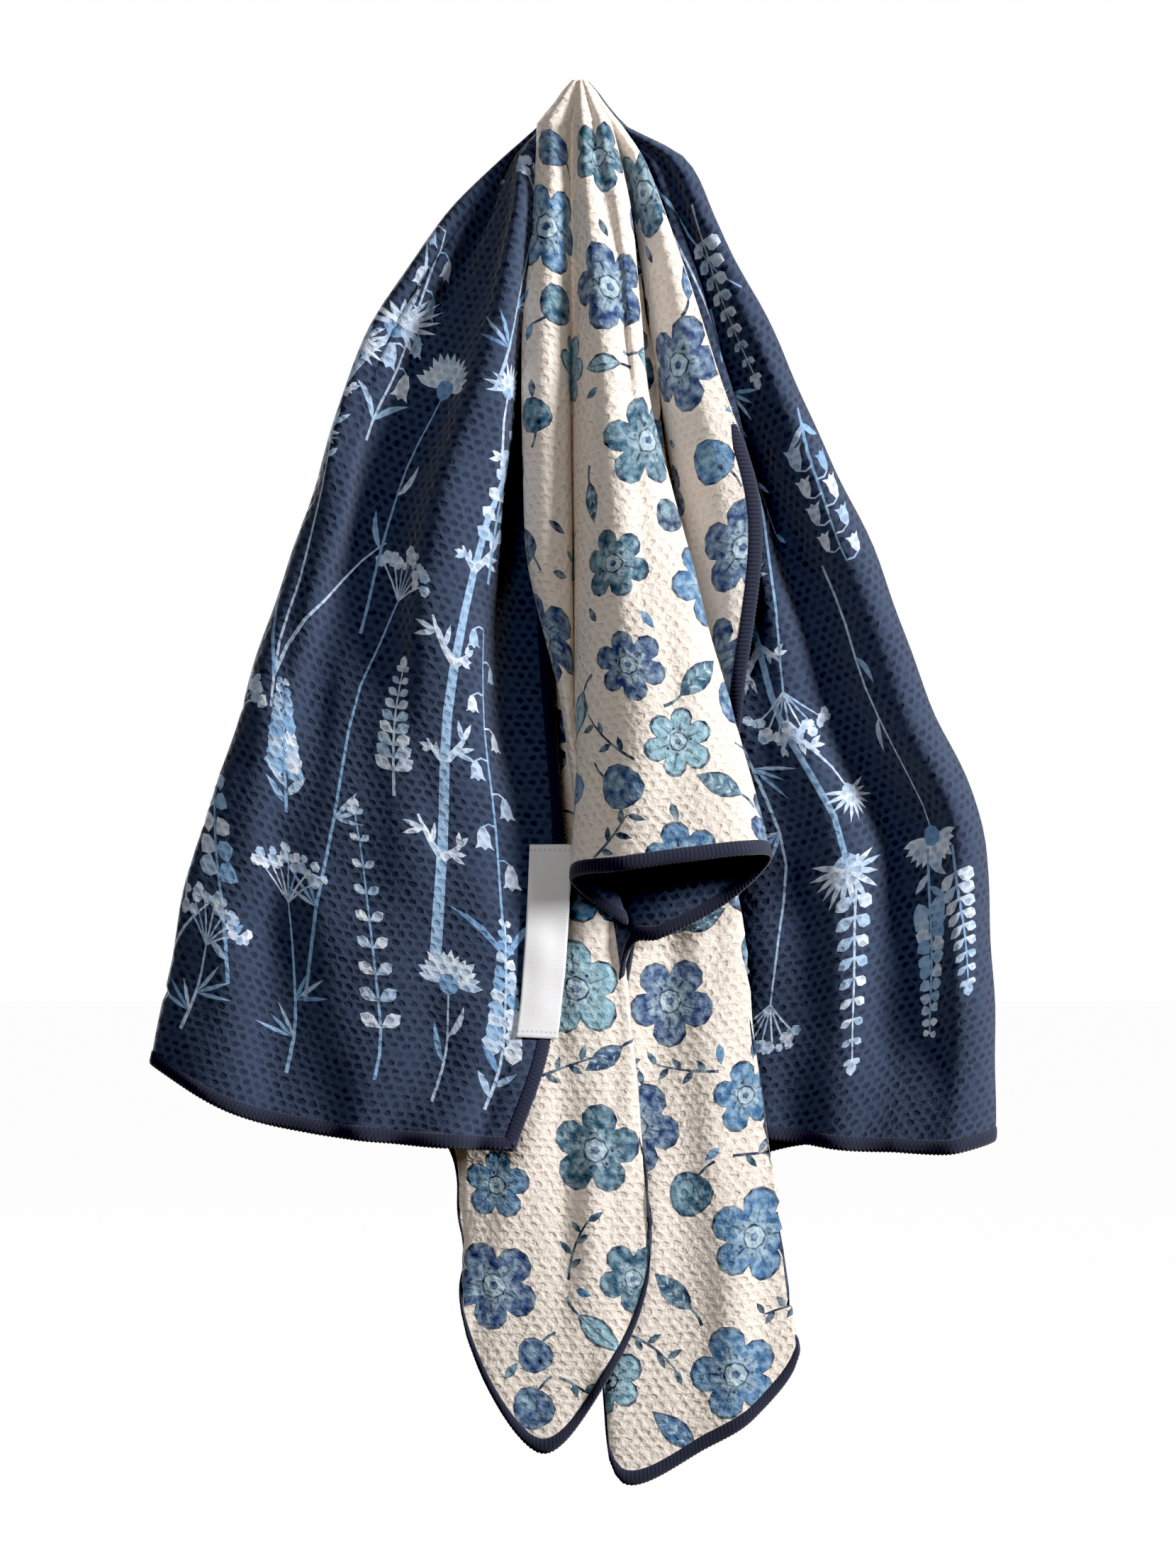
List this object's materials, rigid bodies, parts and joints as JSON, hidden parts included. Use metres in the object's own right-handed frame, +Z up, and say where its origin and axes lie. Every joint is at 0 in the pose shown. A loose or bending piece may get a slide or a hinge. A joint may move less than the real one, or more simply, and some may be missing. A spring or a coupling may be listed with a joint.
{
  "type": "hand towel",
  "caption": "Waffle cloth hand towel hanging in folds from one point, printed dark on one side and pale on the other, with a bare sewn label.",
  "frame": {"origin": "the point that the towel hangs from, at the top of its gathered cloth", "axes": "+Z up, -Y towards the viewer, +X to the viewer's right"},
  "size_m": [0.2997, 0.0729, 0.4966],
  "materials": {
    "cloth": "matte waffle weave, navy print on one side and cream print on the other, dark overlocked edge",
    "label": "smooth white woven tape"
  },
  "bodies": {
    "root": {"towel": "cloth", "label": "label"}
  },
  "joints": []
}
